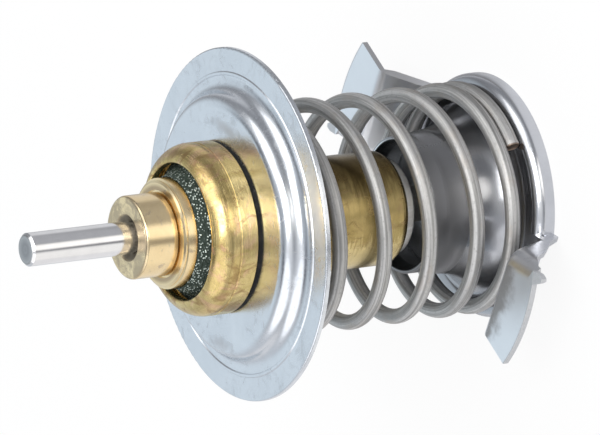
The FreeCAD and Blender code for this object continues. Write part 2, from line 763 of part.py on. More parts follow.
def hook(name, body):
    """Add the hooked corner that stands out from the lug's edge where its bend begins."""
    top, reach = S["wing_height"], S["lug_radius"]
    tip, broad, start = S["hook_reach"], S["hook_width"], S["lug_bend"] * 0.8
    plan = new_sketch(body, name + "_hook_plan", "XY_Plane", top - thick)
    draw(plan, [
        polar(reach - broad, -start - broad * 0.6, 1),
        polar(reach - broad * 0.1, -start - broad * 0.6, 1),
        polar(reach + tip * 0.6, -start - broad * 0.1, 1),
        polar(reach + tip, -start + broad * 0.3, 1),
        polar(reach + tip, -start + broad * 0.7, 1),
        polar(reach + tip * 0.6, -start + broad, 1),
        polar(reach - broad * 0.3, -start + broad, 1),
        polar(reach - broad, -start, 1),
    ])
    return extrude(body, name + "_hook", "Pad", plan, thick)


cut_skirt()
wings = []
for name, turn in (("wing_right", 0.0), ("wing_left", 180.0)):
    body, tip = wing(name, ZERO + turn)
    bend(name, body, tip)
    taper(name, body)
    hook(name, body)
    wings.append(body)

bridge = doc.addObject("Part::MultiFuse", "bridge")
bridge.Label = "bridge"
bridge.Shapes = [ring_body] + wings
bridge.Refine = True
doc.recompute()
place(bridge, ZERO + 0.0)


def share_at(turns):
    """Return the share of the spring's height at a number of turns, with a slope that runs on."""
    course = SPRING_COURSE
    k = max(i for i in range(len(course) - 1) if course[i][0] <= turns or i == 0)
    (a, low), (b, high) = course[k], course[k + 1]
    ends = []
    for n in (k, k + 1):
        before, after = course[max(n - 1, 0)], course[min(n + 1, len(course) - 1)]
        ends.append((after[1] - before[1]) / (after[0] - before[0]) * (b - a))
    t = (turns - a) / (b - a)
    t2, t3 = t * t, t * t * t
    return ((2 * t3 - 3 * t2 + 1) * low + (t3 - 2 * t2 + t) * ends[0]
            + (3 * t2 - 2 * t3) * high + (t3 - t2) * ends[1])


# Main spring: right-hand coils of uneven pitch with closed ends.
wire = wire_radius.value
foot_z = seat_front.value + wire
head_z = (S["seat_height"] + S["disc_rise"] - S["disc_sheet"]).value - wire
per_turn = 8
steps = int(round(SPRING_COURSE[-1][0] * per_turn))
points = []
for i in range(steps + 1):
    turns = SPRING_COURSE[-1][0] * i / steps
    angle = math.radians(S["spring_end_angle"].value + 360.0 * turns)
    height = (head_z - foot_z) * share_at(turns)
    points.append(FreeCAD.Vector(coil_radius.value * math.cos(angle), coil_radius.value * math.sin(angle), height))
curve = Part.BSplineCurve()
curve.interpolate(points)
path = Part.Wire([curve.toShape()])
start = curve.value(curve.FirstParameter)
heading = curve.tangent(curve.FirstParameter)[0]
section = Part.Wire([Part.makeCircle(wire, start, heading)])
coil = Part.Wire(path).makePipeShell([section], True, True)
spring = doc.addObject("Part::Feature", "main_spring")
spring.Label = "main_spring"
spring.Shape = coil
spring.Placement = FreeCAD.Placement()
spring.setExpression("Placement.Base.z", (seat_front + wire_radius).text)
length = curve.length()
print("spring volume %.1f, section times length %.1f" % (coil.Volume, math.pi * wire * wire * length))

doc.recompute()

SUB_PARTS = [
    "piston_pin", "piston_guide", "sealing_ring", "element_cup", "seat_washer", "rubber_boot", "wax_charge",
    "valve_disc", "tail_stud", "stop_washer", "retaining_clip", "main_spring", "bridge",
]

for item in doc.Objects:
    if "Invalid" in item.State or "Error" in item.State:
        raise RuntimeError("%s has failed: %s" % (item.Name, item.State))

os.makedirs("parts", exist_ok=True)
for name in SUB_PARTS:
    item = doc.getObject(name)
    shape = item.Shape
    if shape.isNull() or not shape.isValid() or len(shape.Solids) != 1:
        raise RuntimeError("%s has a bad shape" % name)
for name in SUB_PARTS:
    shape = doc.getObject(name).Shape
    box = shape.BoundBox
    shape.exportStep("parts/%s.step" % name)
    print("%-16s volume %9.2f  x %.2f %.2f  y %.2f %.2f  z %.2f %.2f" % (
        name, shape.Volume, box.XMin, box.XMax, box.YMin, box.YMax, box.ZMin, box.ZMax))
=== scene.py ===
"""Dressed model of an insert thermostat for an engine's cooling circuit.

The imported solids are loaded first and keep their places. The spring and the grainy sealing compound are
worked out again as finer surfaces, and every piece gets a finish of its own. Lengths in the classes are
in millimetres, and the meshes are in metres.
"""

import logging
import math
from dataclasses import dataclass
from enum import Enum
from functools import reduce
from typing import Any, Mapping, Sequence

import bpy
import numpy as np
from mathutils import Matrix, Vector


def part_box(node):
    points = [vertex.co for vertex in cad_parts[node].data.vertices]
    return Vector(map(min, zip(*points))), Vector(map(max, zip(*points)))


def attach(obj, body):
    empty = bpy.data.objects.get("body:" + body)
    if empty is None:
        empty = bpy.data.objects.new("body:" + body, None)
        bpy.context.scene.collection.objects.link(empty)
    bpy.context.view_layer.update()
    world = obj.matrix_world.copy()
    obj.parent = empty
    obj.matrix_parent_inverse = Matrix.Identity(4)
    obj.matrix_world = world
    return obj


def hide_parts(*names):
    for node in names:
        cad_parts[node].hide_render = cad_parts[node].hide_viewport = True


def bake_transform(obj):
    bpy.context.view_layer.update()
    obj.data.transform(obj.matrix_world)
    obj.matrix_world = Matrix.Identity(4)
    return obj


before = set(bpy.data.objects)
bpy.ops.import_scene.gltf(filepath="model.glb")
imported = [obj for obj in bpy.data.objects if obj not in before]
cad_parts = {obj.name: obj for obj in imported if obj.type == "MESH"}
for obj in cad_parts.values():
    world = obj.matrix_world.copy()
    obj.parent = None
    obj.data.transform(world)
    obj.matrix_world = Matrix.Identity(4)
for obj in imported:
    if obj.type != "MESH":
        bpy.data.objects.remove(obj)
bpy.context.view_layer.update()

MM = 0.001
LOG = logging.getLogger("thermostat")

Colour = tuple[float, float, float]
Point = tuple[float, float, float]


# Shader expressions


class Value:
    """A shader socket that can stand in Python expressions; each operator adds a Math node."""

    def __init__(self, graph: "Graph", socket: bpy.types.NodeSocket | None) -> None:
        """Wrap a socket.

        Args:
            graph: The node graph that the socket belongs to.
            socket: An output socket, or None for an output node, which has none.
        """
        self.graph = graph
        self.socket = socket

    def math(self, operation: str, *others: Any, first: Any = None) -> "Value":
        """Apply a Math operation.

        Args:
            operation: Blender's name of the operation.
            others: Operands after this one.
            first: Operand that goes before this one, for reflected operators.

        Returns:
            The result as a new value.
        """
        operands = [self, *others] if first is None else [first, self, *others]
        return self.graph.node("ShaderNodeMath", {"operation": operation}, dict(enumerate(operands)))

    def __add__(self, other: Any) -> "Value":
        """Sum."""
        return self.math("ADD", other)

    def __radd__(self, other: Any) -> "Value":
        """Sum with a number on the left."""
        return self.math("ADD", other)

    def __sub__(self, other: Any) -> "Value":
        """Difference."""
        return self.math("SUBTRACT", other)

    def __rsub__(self, other: Any) -> "Value":
        """Difference with a number on the left."""
        return self.math("SUBTRACT", first=other)

    def __mul__(self, other: Any) -> "Value":
        """Product."""
        return self.math("MULTIPLY", other)

    def __rmul__(self, other: Any) -> "Value":
        """Product with a number on the left."""
        return self.math("MULTIPLY", other)

    def __truediv__(self, other: Any) -> "Value":
        """Quotient."""
        return self.math("DIVIDE", other)

    def __pow__(self, other: Any) -> "Value":
        """Power."""
        return self.math("POWER", other)

    def __abs__(self) -> "Value":
        """Size without its sign."""
        return self.math("ABSOLUTE")

    def most(self, other: Any) -> "Value":
        """Larger of two values."""
        return self.math("MAXIMUM", other)


class Graph:
    """A node tree with one method that adds any node, and short names for the common ones."""

    def __init__(self, tree: bpy.types.NodeTree) -> None:
        """Start with an empty tree.

        Args:
            tree: Tree of a material or of the world.
        """
        self.tree = tree
        tree.nodes.clear()

    @staticmethod
    def _find(sockets: Any, key: int | str) -> bpy.types.NodeSocket:
        """Find a socket; among equal names it is the enabled one.

        Args:
            sockets: Inputs or outputs of a node.
            key: The socket's number, identifier or name.

        Returns:
            The socket.
        """
        if isinstance(key, int):
            return sockets[key]
        for socket in sockets:
            if socket.identifier == key:
                return socket
        return next(s for s in sockets if s.name == key and s.enabled)

    @staticmethod
    def _rgba(colour: Any) -> Any:
        """Return a plain colour with an alpha, and a linked one unchanged."""
        return (*colour, 1.0) if isinstance(colour, tuple) and len(colour) == 3 else colour

    def node(
        self,
        kind: str,
        settings: Mapping[str, Any] | None = None,
        sockets: Mapping[int | str, Any] | None = None,
        output: int | str = 0,
    ) -> Value:
        """Add a node.

        Args:
            kind: Blender's type name.
            settings: Properties, set before the sockets.
            sockets: Constants, or values to link, by socket.
            output: Output socket to return.

        Returns:
            The chosen output as a value.
        """
        made = self.tree.nodes.new(kind)
        for name, setting in (settings or {}).items():
            setattr(made, name, setting)
        for key, given in (sockets or {}).items():
            socket = self._find(made.inputs, key)
            if isinstance(given, Value):
                self.tree.links.new(given.socket, socket)
            else:
                socket.default_value = self._rgba(given) if socket.type == "RGBA" else given
        return Value(self, self._find(made.outputs, output) if len(made.outputs) else None)

    def stretch(self, vector: Value, factors: Point) -> Value:
        """Return a vector with each part multiplied by its factor."""
        return self.node("ShaderNodeVectorMath", {"operation": "MULTIPLY"}, {0: vector, 1: factors})

    def place(self) -> Value:
        """Return the point on the piece in millimetres."""
        return self.stretch(self.node("ShaderNodeTexCoord", output="Object"), (1 / MM, 1 / MM, 1 / MM))

    def split(self, vector: Value) -> tuple[Value, Value, Value]:
        """Return the three parts of a vector."""
        parts = self.node("ShaderNodeSeparateXYZ", None, {0: vector}).socket.node
        return tuple(Value(self, part) for part in parts.outputs)

    def join(self, x: Any, y: Any, z: Any) -> Value:
        """Return a vector of three parts."""
        return self.node("ShaderNodeCombineXYZ", None, {0: x, 1: y, 2: z})

    def turned(self) -> tuple[Value, Value, Value]:
        """Return radius, angle and height about the axis of the valve, in millimetres and radians."""
        x, y, z = self.split(self.place())
        return (x * x + y * y) ** 0.5, y.math("ARCTAN2", x), z

    def noise(
        self, vector: Value, scale: float, detail: float = 3.0, rough: float = 0.5, twist: float = 0.0
    ) -> Value:
        """Add cloudy noise.

        Args:
            vector: Where to read it.
            scale: Cycles per unit of the vector.
            detail: How many finer layers it has.
            rough: How strong the finer layers are.
            twist: How much it is distorted.

        Returns:
            Noise between 0 and 1.
        """
        inputs = {"Vector": vector, "Scale": scale, "Detail": detail, "Roughness": rough}
        inputs["Distortion"] = twist
        return self.node("ShaderNodeTexNoise", {"noise_dimensions": "3D"}, inputs)

    def cells(self, vector: Value, scale: float) -> Value:
        """Return the distance to the nearest cell point."""
        return self.node("ShaderNodeTexVoronoi", {"feature": "F1"}, {"Vector": vector, "Scale": scale})

    def step(self, value: Any, low: float, high: float) -> Value:
        """Add a soft step.

        Args:
            value: What is compared.
            low: Where the step is 0; it may be the larger number.
            high: Where the step is 1.

        Returns:
            A mask between 0 and 1.
        """
        return self.node(
            "ShaderNodeMapRange",
            {"interpolation_type": "SMOOTHSTEP", "clamp": True},
            {"Value": value, "From Min": low, "From Max": high, "To Min": 0.0, "To Max": 1.0},
        )

    def mix(self, share: Any, first: Any, second: Any) -> Value:
        """Mix two colours.

        Args:
            share: Share of the second colour.
            first: First colour.
            second: Second colour.

        Returns:
            The colour between them.
        """
        return self.node(
            "ShaderNodeMix",
            {"data_type": "RGBA", "clamp_factor": True},
            {"Factor_Float": share, "A_Color": first, "B_Color": second},
            output="Result_Color",
        )

    def layers(self, base: Any, *coats: tuple[Any, Any]) -> Value:
        """Lay colours over a base, one after the other.

        Args:
            base: Colour underneath.
            coats: Share and colour of each layer.

        Returns:
            The colour on top.
        """
        for share, coat in coats:
            base = self.mix(share, base, coat)
        return base

    def bump(self, height: Value, depth: float, strength: float = 1.0, under: Value | None = None) -> Value:
        """Disturb the normal.

        Args:
            height: Height between 0 and 1.
            depth: Millimetres that a height of 1 stands for.
            strength: How much of the bump is used.
            under: Normal that is disturbed already.

        Returns:
            The new normal.
        """
        inputs: dict[str, Any] = {"Strength": strength, "Distance": depth * MM, "Height": height}
        if under is not None:
            inputs["Normal"] = under
        return self.node("ShaderNodeBump", None, inputs)

    def surface(self, **inputs: Any) -> None:
        """End the tree with a Principled shader.

        Args:
            inputs: Its sockets by name, with underscores for spaces.
        """
        named = {name.replace("_", " "): given for name, given in inputs.items()}
        shader = self.node("ShaderNodeBsdfPrincipled", None, named, output="BSDF")
        self.node("ShaderNodeOutputMaterial", None, {"Surface": shader})


def new_material(name: str) -> tuple[bpy.types.Material, Graph]:
    """Make a material.

    Args:
        name: Name of the material.

    Returns:
        The material and its empty graph.
    """
    material = bpy.data.materials.new(name)
    material.use_nodes = True
    return material, Graph(material.node_tree)


# Finishes


@dataclass(frozen=True)
class Finish:
    """A procedural material; each kind of finish paints its own graph."""

    name: str

    def paint(self, graph: Graph) -> None:
        """Add the nodes of the finish to an empty graph."""
        raise NotImplementedError

    def build(self) -> bpy.types.Material:
        """Make the material.

        Returns:
            The painted material.
        """
        material, graph = new_material(self.name)
        self.paint(graph)
        return material


@dataclass(frozen=True)
class Scuff:
    """A rubbed patch: the place of its middle, and its half sizes round the axis and across."""

    x: float
    y: float
    half_length: float
    half_width: float


@dataclass(frozen=True)
class PolishedSheet(Finish):
    """Pressed steel sheet: nearly a mirror, with fine scratches, scuffs and cloudy stains."""

    bright: Colour = (0.80, 0.82, 0.85)
    dull: Colour = (0.66, 0.69, 0.73)
    smudge_tone: Colour = (0.50, 0.51, 0.53)
    speck_tone: Colour = (0.30, 0.30, 0.31)
    scratch_tone: Colour = (0.90, 0.92, 0.95)
    scuff_tone: Colour = (0.58, 0.59, 0.61)
    smooth: float = 0.13
    draw_depth: float = 0.00088
    scratch_ways: Sequence[tuple[float, float]] = ((0.35, 0.22), (1.55, 0.30), (2.6, 0.26))
    scratch_width: float = 0.0045
    scuffs: Sequence[Scuff] = ()

    def scuffed(self, graph: Graph, point: Value) -> Value:
        """Work out the rubbed patches, which are ellipses with ragged edges.

        Args:
            graph: Graph of the material.
            point: Point on the piece in millimetres.

        Returns:
            A mask that is 1 in the patches.
        """
        x, y, _ = graph.split(point)
        ragged = graph.noise(point, 1.1, 5.0, 0.65)
        patches = []
        for scuff in self.scuffs:
            reach = math.hypot(scuff.x, scuff.y)
            out_x, out_y = scuff.x / reach, scuff.y / reach
            across = ((x - scuff.x) * out_x + (y - scuff.y) * out_y) / scuff.half_width
            along = ((y - scuff.y) * out_x - (x - scuff.x) * out_y) / scuff.half_length
            patches.append(graph.step((across * across + along * along) ** 0.5 + ragged * 1.2, 1.7, 0.7))
        return reduce(Value.most, patches)

    def scratches(self, graph: Graph, point: Value) -> Value:
        """Draw thin lines in a few directions, where noise stretched along a line crosses its middle.

        A way is a turn in radians, and how fast the noise changes along the lines.

        Args:
            graph: Graph of the material.
            point: Point on the piece in millimetres.

        Returns:
            A mask that is 1 on the lines.
        """
        lines = []
        for turn, spread in self.scratch_ways:
            inputs = {"Vector": point, "Angle": turn}
            turned = graph.node("ShaderNodeVectorRotate", {"rotation_type": "Z_AXIS"}, inputs)
            noise = graph.noise(graph.stretch(turned, (spread, 5.0, 1.4)), 0.9, 2.0, 0.55)
            lines.append(graph.step(abs(noise - 0.5), self.scratch_width, 0.0))
        return reduce(Value.most, lines)

    def paint(self, graph: Graph) -> None:
        """Add clouds, smudges, specks, scratches, draw marks and scuffs.

        Args:
            graph: Empty graph of the material.
        """
        point = graph.place()
        radius, angle, height = graph.turned()
        cloud = graph.noise(point, 0.16, 5.0, 0.6, 0.6)
        smudge = graph.step(graph.noise(point, 0.34, 6.0, 0.66, 1.2), 0.50, 0.72)
        dusty = graph.step(graph.noise(point, 0.25), 0.52, 0.60)
        specks = graph.step(graph.cells(point, 1.1), 0.13, 0.05) * dusty
        worn = graph.step(graph.noise(point, 0.11, 2.0), 0.44, 0.62)
        scratches = self.scratches(graph, point) * (0.25 + 0.75 * worn)
        drawn = graph.noise(graph.join(radius * 5.0, angle * 1.5, height * 7.0), 1.0, 3.0, 0.6)
        colour = graph.layers(
            graph.mix(cloud, self.bright, self.dull),
            (smudge * 0.35, self.smudge_tone),
            (specks * 0.55, self.speck_tone),
            (scratches * 0.25, self.scratch_tone),
        )
        rough = self.smooth + 0.12 * cloud + 0.12 * smudge + 0.10 * scratches + 0.05 * drawn
        if self.scuffs:
            scuffed = self.scuffed(graph, point)
            colour = graph.mix(scuffed * 0.45, colour, self.scuff_tone)
            rough = rough + 0.26 * scuffed
        normal = graph.bump(graph.noise(point, 0.55, 2.0), 0.012, 0.6)
        normal = graph.bump(drawn, self.draw_depth, 1.0, normal)
        normal = graph.bump(1.0 - scratches, 0.003, 0.7, normal)
        graph.surface(Base_Color=colour, Metallic=1.0, Roughness=rough, Normal=normal)


@dataclass(frozen=True)
class BridgeSheet(Finish):
    """Bright pressed sheet with rough whitish cut edges and mottled oxide on the wings.

    The wing at negative X has more oxide, and the sheet there above the lugs' front height carries a painted
    dark reflection as far as a ragged edge. The other wing is painted lighter as a highlight, the lug faces
    carry a painted pale reflection, and the flare and the bore are painted with shade.
    """

    bright: Colour = (0.78, 0.79, 0.82)
    dull: Colour = (0.60, 0.61, 0.64)
    cut_tone: Colour = (0.62, 0.63, 0.64)
    oxide_tone: Colour = (0.33, 0.31, 0.30)
    arm_reflection_tone: Colour = (0.30, 0.29, 0.28)
    speck_tone: Colour = (0.88, 0.88, 0.90)
    far_wing_highlight_tone: Colour = (0.95, 0.95, 0.96)
    lug_reflection_tone: Colour = (0.92, 0.95, 0.98)
    flare_shade_tone: Colour = (0.26, 0.26, 0.27)
    bore_shade_tone: Colour = (0.03, 0.03, 0.03)
    lug_front: float = 9.3
    lug_radius: float = 26.45
    wing_root: float = 17.2
    flare_radius: float = 17.0
    bore_radius: float = 9.1
    arm_reach: float = 25.5
    arm_ragged: float = 4.0
    side_blur: float = 4.0

    def paint(self, graph: Graph) -> None:
        """Add clouds and oxide, the painted reflections on the lugs, the painted highlight on the far wing,
        the painted shade on the flare and in the bore, and the cut edges.

        Args:
            graph: Empty graph of the material.
        """
        point = graph.place()
        radius, angle, height = graph.turned()
        normal_z = graph.split(graph.node("ShaderNodeNewGeometry", output="Normal"))[2]
        cloud = graph.noise(point, 0.22, 5.0, 0.6, 0.8)
        fine = graph.noise(point, 1.6, 5.0, 0.65)
        # 1 on the wing side at negative X, which gets more oxide and the painted dark reflection; the other
        # side gets a painted highlight.
        worn_and_shaded_side = graph.step(graph.split(point)[0], self.side_blur, -self.side_blur)
        on_wing = graph.step(radius, self.wing_root, self.wing_root + 1.2)
        sheared = graph.step(radius, self.lug_radius, self.lug_radius + 0.2)
        gusset_edge = graph.step(normal_z, -0.12, -0.3) * on_wing * graph.step(normal_z, -0.985, -0.9)
        cut = sheared.most(gusset_edge)
        lug_flat = graph.step(height, self.lug_front - 0.12, self.lug_front - 0.02)
        oxide = graph.step(graph.noise(point, 0.7, 6.0, 0.7, 1.0), 0.52, 0.68) * (0.20 + 0.80 * on_wing)
        oxide = oxide * (0.45 - 0.35 * lug_flat) * (0.4 + 0.6 * worn_and_shaded_side)
        # Painted dark reflection above the lugs' front height on the negative X side, inside a ragged
        # radius.
        ragged_radius = radius + graph.noise(point, 0.5, 4.0) * self.arm_ragged
        arm_dark_reflection = graph.step(ragged_radius, self.arm_reach, self.arm_reach - 2.5) * lug_flat * worn_and_shaded_side
        specks = graph.step(graph.cells(point, 1.5), 0.14, 0.04) * on_wing * (0.15 + 0.85 * arm_dark_reflection)
        # Painted shade on the flare between the spring seat and the bore.
        inside = graph.step(radius, self.flare_radius, self.flare_radius - 1.5)
        flare = inside * graph.step(radius, self.bore_radius, self.bore_radius + 0.2)
        # Painted shade: the bore inside the collar is painted near black.
        bore = graph.step(radius, self.bore_radius + 0.02, self.bore_radius - 0.08)
        drawn = graph.noise(graph.join(radius * 3.0, angle * 1.2, height * 5.0), 1.0, 3.0, 0.6)
        colour = graph.layers(
            graph.mix(cloud, self.bright, self.dull),
            (oxide * 0.55, self.oxide_tone),
            (arm_dark_reflection * 0.70, self.arm_reflection_tone),
            (specks * 0.5, self.speck_tone),
            # Painted highlight: the wing at positive X, below the lugs' front height, is painted nearly
            # white.
            (on_wing * (1.0 - lug_flat.most(worn_and_shaded_side)) * 0.8, self.far_wing_highlight_tone),
            # Painted pale bluish reflection on the sheet above the lugs' front height, chiefly the lug
            # faces.
            (lug_flat * (0.85 - 0.85 * arm_dark_reflection), self.lug_reflection_tone),
            (flare * 0.72, self.flare_shade_tone),
            (bore * 0.92, self.bore_shade_tone),
            (cut * (0.4 + 0.6 * fine), self.cut_tone),
        )
        rough = 0.12 + 0.10 * cloud + 0.20 * oxide + 0.28 * cut + 0.05 * drawn
        rough = rough + 0.20 * arm_dark_reflection + 0.16 * on_wing
        normal = graph.bump(graph.noise(point, 0.45, 2.0), 0.02, 0.6)
        normal = graph.bump(drawn, 0.003, 0.8, normal)
        normal = graph.bump(fine * (0.06 + 0.94 * cut.most(oxide * 0.3)), 0.05, 1.0, normal)
        graph.surface(Base_Color=colour, Metallic=1.0, Roughness=rough, Normal=normal)


@dataclass(frozen=True)
class TarnishedBrass(Finish):
    """Drawn brass: yellow-olive, cloudy, with brown and pinkish tarnish and scratches round the axis.

    The cup's body below the disc is duller. It has painted shade along the side that a given direction
    points to, and a painted highlight strip opposite.
    """

    clean: Colour = (0.86, 0.67, 0.31)
    olive: Colour = (0.50, 0.37, 0.13)
    brown: Colour = (0.32, 0.18, 0.08)
    pink: Colour = (0.80, 0.47, 0.33)
    ring_tone: Colour = (0.66, 0.50, 0.22)
    body_tone: Colour = (0.34, 0.255, 0.10)
    body_shade_tone: Colour = (0.10, 0.065, 0.025)
    body_highlight_tone: Colour = (0.88, 0.72, 0.38)
    pit_tone: Colour = (0.16, 0.12, 0.08)
    body_top: float = 40.5
    shade_way: tuple[float, float] = (0.5, -0.87)

    def paint(self, graph: Graph) -> None:
        """Add clouds, rings, blotches, burnt patches, pits and lines, and the duller body with its painted
        shade and painted highlight.

        Args:
            graph: Empty graph of the material.
        """
        point = graph.place()
        radius, angle, height = graph.turned()
        body = graph.step(height, self.body_top + 0.6, self.body_top - 0.6)
        cloud = graph.noise(point, 0.24, 6.0, 0.62, 0.9)
        ringed = graph.noise(graph.join(radius * 1.6, angle * 2.2, height * 2.6), 1.0, 5.0, 0.62, 0.3)
        blotch = graph.step(graph.noise(point, 0.30, 5.0, 0.62, 1.4), 0.52, 0.66)
        squeezed = graph.stretch(point, (1.0, 1.0, 0.55))
        burnt = graph.step(graph.noise(squeezed, 0.42, 5.0, 0.66, 1.0), 0.50, 0.64)
        fine = graph.noise(point, 3.2, 4.0, 0.6)
        pits = graph.step(graph.cells(point, 1.2), 0.12, 0.05) * graph.step(cloud, 0.48, 0.6)
        long_noise = graph.noise(graph.join(radius * 6.0, angle * 1.1, height * 6.0), 1.0, 2.0)
        lines = graph.step(abs(long_noise - 0.5), 0.010, 0.0) * (1.0 - 0.85 * body)
        x, y, _ = graph.split(point)
        # Painted shade on the body's side facing the given direction, and a painted highlight on the
        # opposite side.
        facing = (x * self.shade_way[0] + y * self.shade_way[1]) / radius + (ringed - 0.5) * 1.1
        colour = graph.layers(
            graph.mix(graph.step(cloud, 0.32, 0.68), self.clean, self.olive),
            (ringed * 0.40, self.ring_tone),
            (burnt * 0.62, self.brown),
            (blotch * 0.42, self.pink),
            (body * (0.50 + 0.45 * ringed), self.body_tone),
            (body * graph.step(facing, 0.25, 0.85) * 0.75, self.body_shade_tone),
            (body * graph.step(facing, -0.30, -0.62) * 0.60, self.body_highlight_tone),
            (pits * 0.7, self.pit_tone),
        )
        rough = 0.16 + 0.14 * cloud + 0.10 * burnt - 0.02 * body + 0.12 * lines
        normal = graph.bump(ringed, 0.015, 0.7)
        normal = graph.bump(fine, 0.004, 0.6, normal)
        normal = graph.bump(1.0 - lines.most(pits), 0.008, 0.6, normal)
        graph.surface(Base_Color=colour, Metallic=1.0, Roughness=rough, Normal=normal)


@dataclass(frozen=True)
class TurnedBrass(Finish):
    """Machined brass: warm gold with tool marks and a few stains, with painted shade in the countersink and
    the groove, and a mottled front that is partly stain and partly painted dark reflection.
    """

    gold: Colour = (0.97, 0.79, 0.49)
    shade: Colour = (0.86, 0.66, 0.37)
    stain_tone: Colour = (0.42, 0.36, 0.29)
    front_mottle_and_reflection_tone: Colour = (0.46, 0.37, 0.25)
    groove_shade_tone: Colour = (0.30, 0.20, 0.12)
    countersink_shade_tone: Colour = (0.20, 0.18, 0.15)
    front: float = 57.0
    groove_height: float = 52.1
    groove_radius: float = 6.2
    sink_radius: float = 3.2

    def paint(self, graph: Graph) -> None:
        """Add clouds, stains, the front's mottle with painted dark reflection, painted shade in the groove
        and painted shade in the countersink.

        Args:
            graph: Empty graph of the material.
        """
        point = graph.place()
        radius, angle, height = graph.turned()
        marks = graph.noise(graph.join(radius * 9.0, angle * 0.5, height * 9.0), 1.0, 2.0, 0.5)
        cloud = graph.noise(point, 0.35, 4.0, 0.6, 0.6)
        stain = graph.step(graph.noise(point, 0.55, 3.0, 0.55, 0.5), 0.60, 0.72)
        # Painted shade in the countersink round the pin.
        sink = graph.step(radius, self.sink_radius + 0.15, self.sink_radius - 0.35)
        front_face = graph.step(height, self.front - 0.35, self.front - 0.05)
        # Mottled patch on the front face: partly stain, partly painted dark reflection.
        front_mottle_and_reflection = front_face * graph.step(graph.noise(point, 0.34, 5.0, 0.65, 0.8), 0.34, 0.56)
        # Painted shade in the groove where the nose meets the collar.
        groove = graph.step(abs(height - self.groove_height), 0.22, 0.05)
        groove = groove * graph.step(radius, self.groove_radius + 0.8, self.groove_radius)
        colour = graph.layers(
            graph.mix(cloud, self.gold, self.shade),
            (stain * 0.50, self.stain_tone),
            (front_mottle_and_reflection * 0.80, self.front_mottle_and_reflection_tone),
            (groove * 0.7, self.groove_shade_tone),
            (sink * 0.9, self.countersink_shade_tone),
        )
        rough = 0.15 + 0.10 * cloud + 0.10 * stain + 0.20 * sink + 0.10 * front_mottle_and_reflection
        normal = graph.bump(marks, 0.004, 0.8)
        normal = graph.bump(graph.noise(point, 2.5, 3.0), 0.004, 0.5, normal)
        graph.surface(Base_Color=colour, Metallic=1.0, Roughness=rough, Normal=normal)


@dataclass(frozen=True)
class GroundSteel(Finish):
    """Ground steel: fine marks round the axis, light scuffs along it and rings on the upper end."""

    light: Colour = (0.90, 0.89, 0.89)
    dark: Colour = (0.76, 0.75, 0.75)
    scuff_tone: Colour = (0.90, 0.90, 0.90)
    tip_tone: Colour = (0.34, 0.34, 0.34)
    ring_tone: Colour = (0.58, 0.58, 0.58)
    centre_tone: Colour = (0.25, 0.25, 0.26)
    smooth: float = 0.07
    end: float = 72.3
    centre_radius: float = 1.5

    def paint(self, graph: Graph) -> None:
        """Add clouds, scuffs and the dark ringed end face.

        Args:
            graph: Empty graph of the material.
        """
        point = graph.place()
        radius, angle, height = graph.turned()
        marks = graph.noise(graph.join(radius * 7.0, angle * 0.4, height * 8.0), 1.0, 3.0, 0.6)
        long_noise = graph.noise(graph.join(radius, angle * 9.0, height * 0.35), 1.0, 3.0, 0.6)
        scuffs = graph.step(long_noise, 0.56, 0.70)
        cloud = graph.noise(point, 0.5, 4.0, 0.6)
        tip = graph.step(height, self.end - 0.15, self.end - 0.02)
        ring_noise = graph.noise(graph.join(radius * 3.5, 0.0, 0.0), 1.0, 3.0, 0.7)
        colour = graph.layers(
            graph.mix(cloud, self.light, self.dark),
            (scuffs * 0.4, self.scuff_tone),
            (tip * 0.85, self.tip_tone),
            (tip * graph.step(ring_noise, 0.42, 0.60) * 0.5, self.ring_tone),
            (tip * graph.step(radius, self.centre_radius, self.centre_radius - 0.6) * 0.5, self.centre_tone),
        )
        rough = self.smooth + 0.07 * marks + 0.05 * cloud + 0.24 * tip
        normal = graph.bump(marks, 0.0015, 0.9)
        graph.surface(Base_Color=colour, Metallic=1.0, Roughness=rough, Normal=normal)


@dataclass(frozen=True)
class DrawnWire(Finish):
    """Dull spring wire: long satin streaks that follow the wire, and brown cut ends."""

    light: Colour = (0.66, 0.65, 0.635)
    dark: Colour = (0.34, 0.335, 0.325)
    warm: Colour = (0.46, 0.40, 0.34)
    grain_tone: Colour = (0.27, 0.26, 0.25)
    rust: Colour = (0.20, 0.12, 0.07)
    rust_length: float = 0.3
    length: float = 639.0

    def paint(self, graph: Graph) -> None:
        """Add streaks, lines, warm patches, grain and rusty ends.

        The piece's UV map holds millimetres along the wire and turns round it. A point on the circle
        of turns, stretched by how fine a pattern is, makes the pattern close round the wire.

        Args:
            graph: Empty graph of the material.
        """
        along, around, _ = graph.split(graph.node("ShaderNodeUVMap", {"uv_map": "wire"}))
        turn = around * (2.0 * math.pi)
        circle_x, circle_y = turn.math("COSINE"), turn.math("SINE")

        def on_wire(per_mm: float, across: float, detail: float, rough: float) -> Value:
            """Return noise with so many cycles per millimetre along the wire, and so fine across it."""
            where = graph.join(along * per_mm, circle_x * across, circle_y * across)
            return graph.noise(where, 1.0, detail, rough)

        streaks = on_wire(0.05, 3.8, 6.0, 0.72)
        lines = on_wire(0.02, 9.0, 3.0, 0.6)
        patches = on_wire(0.30, 0.8, 4.0, 0.6)
        grain = on_wire(2.2, 2.4, 5.0, 0.7)
        to_end = self.length / 2 - abs(along - self.length / 2)
        cut_end = graph.step(to_end, self.rust_length, 0.05)
        colour = graph.layers(
            graph.mix(graph.step(streaks, 0.36, 0.64), self.dark, self.light),
            (graph.step(patches, 0.50, 0.70) * 0.35, self.warm),
            (graph.step(grain, 0.54, 0.70) * 0.45, self.grain_tone),
            (cut_end * 0.8, self.rust),
        )
        rough = 0.42 + 0.12 * streaks + 0.14 * grain
        normal = graph.bump(lines, 0.006, 0.9)
        normal = graph.bump(grain, 0.008, 0.6, normal)
        graph.surface(Base_Color=colour, Metallic=1.0, Roughness=rough, Normal=normal)


